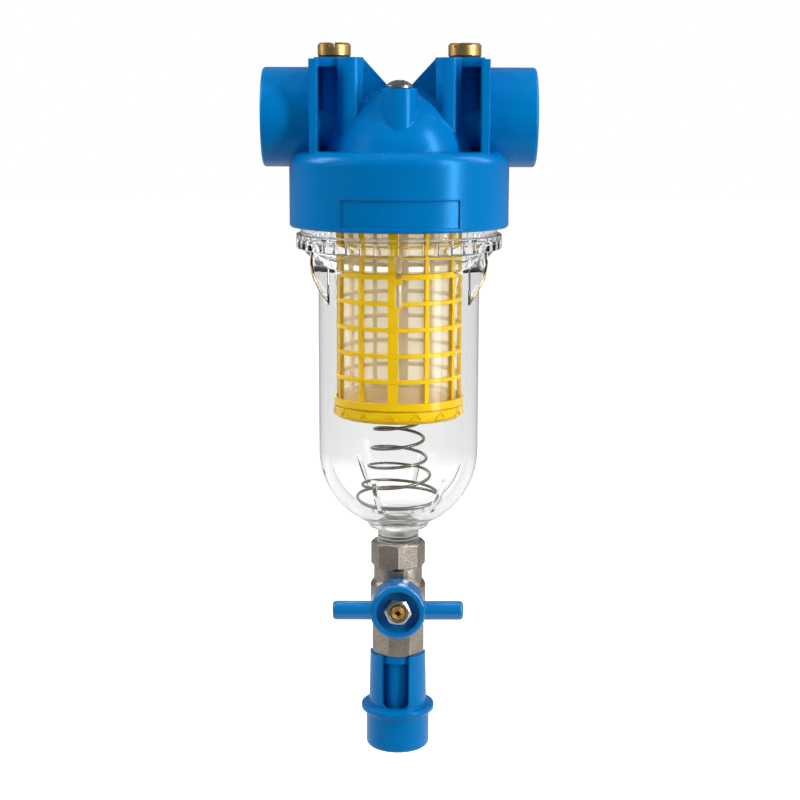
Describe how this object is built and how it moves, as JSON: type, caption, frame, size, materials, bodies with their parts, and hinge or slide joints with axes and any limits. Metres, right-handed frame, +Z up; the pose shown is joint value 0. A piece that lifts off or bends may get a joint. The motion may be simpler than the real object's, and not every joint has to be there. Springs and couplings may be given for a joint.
{
  "type": "self cleaning filter",
  "caption": "Inline water filter with a ported head, clear screw-on bowl, spring-held mesh cartridge and a ball valve below that flushes the bowl to a drain.",
  "frame": {"origin": "on the bowl axis at the lower rim of the drain adapter", "axes": "+Z up along the bowl axis, +X towards the outlet port, -Y towards the front with the vent screw and the valve handle"},
  "size_m": [0.132, 0.1072, 0.3552],
  "materials": {
    "blue_plastic": "moulded satin",
    "clear_plastic": "clear",
    "yellow_plastic": "moulded gloss",
    "pale_plastic": "moulded gloss",
    "filter_cloth": "woven mesh",
    "brass": "turned",
    "nickel_plate": "tumbled plate",
    "steel": "bright",
    "rubber": "matt",
    "white_plastic": "turned"
  },
  "bodies": {
    "head": {"head": "blue_plastic", "inlet_insert": "brass", "outlet_insert": "brass"},
    "gauge_seal_left": {"gauge_seal_left": "rubber"},
    "gauge_plug_left": {"gauge_plug_left": "brass"},
    "gauge_seal_right": {"gauge_seal_right": "rubber"},
    "gauge_plug_right": {"gauge_plug_right": "brass"},
    "vent_seal": {"vent_seal": "rubber"},
    "vent_screw": {"vent_screw": "steel"},
    "bowl_seal": {"bowl_seal": "rubber"},
    "bowl": {"bowl": "clear_plastic", "return_spring": "steel", "valve_end": "nickel_plate", "valve_body": "nickel_plate", "ball_seat_upper": "white_plastic", "ball_seat_lower": "white_plastic", "stem_packing": "rubber", "drain_adapter": "blue_plastic"},
    "cartridge": {"cartridge_cage": "yellow_plastic", "filter_mesh": "filter_cloth", "cartridge_base": "yellow_plastic", "cartridge_collar": "pale_plastic", "cartridge_seal": "rubber"},
    "spindle": {"valve_ball": "nickel_plate", "valve_stem": "brass", "valve_handle": "blue_plastic", "handle_nut": "steel"}
  },
  "joints": [
    {"name": "gauge_plug_left_lift", "type": "slide", "parent": "head", "child": "gauge_seal_left", "axis": [0, 0, 1], "range_m": [0, 0.00401]},
    {"name": "gauge_plug_left_turn", "type": "hinge", "parent": "gauge_seal_left", "child": "gauge_plug_left", "pos_m": [-0.0315, 0, 0.348], "axis": [0, 0, 1], "range_deg": [0, 1080]},
    {"name": "gauge_plug_right_lift", "type": "slide", "parent": "head", "child": "gauge_seal_right", "axis": [0, 0, 1], "range_m": [0, 0.00401]},
    {"name": "gauge_plug_right_turn", "type": "hinge", "parent": "gauge_seal_right", "child": "gauge_plug_right", "pos_m": [0.0315, 0, 0.348], "axis": [0, 0, 1], "range_deg": [0, 1080]},
    {"name": "vent_screw_lift", "type": "slide", "parent": "head", "child": "vent_seal", "axis": [0, 0, 1], "range_m": [0, 0.003]},
    {"name": "vent_screw_turn", "type": "hinge", "parent": "vent_seal", "child": "vent_screw", "pos_m": [0, -0.0252, 0.3334], "axis": [0, 0, 1], "range_deg": [0, 1080]},
    {"name": "bowl_lower", "type": "slide", "parent": "head", "child": "bowl_seal", "axis": [0, 0, -1], "range_m": [0, 0.01802]},
    {"name": "bowl_turn", "type": "hinge", "parent": "bowl_seal", "child": "bowl", "pos_m": [0, 0, 0.26], "axis": [0, 0, -1], "range_deg": [0, 1080]},
    {"name": "cartridge_sink", "type": "slide", "parent": "bowl", "child": "cartridge", "axis": [0, 0, -1], "range_m": [0, 0.006], "stiffness_N_per_m": 400, "springref_m": -0.01, "deforming": ["return_spring"]},
    {"name": "valve_turn", "type": "hinge", "parent": "bowl", "child": "spindle", "pos_m": [0, -0.023, 0.0793], "axis": [0, 1, 0], "range_deg": [0, 90]}
  ],
  "couplings": [
    {"joint": "gauge_plug_left_turn", "follows": "gauge_plug_left_lift", "rad_per_m": 4699.5},
    {"joint": "gauge_plug_right_turn", "follows": "gauge_plug_right_lift", "rad_per_m": 4699.5},
    {"joint": "vent_screw_turn", "follows": "vent_screw_lift", "rad_per_m": 6283.2},
    {"joint": "bowl_lower", "follows": "bowl_turn", "m_per_rad": 0.00095493}
  ]
}
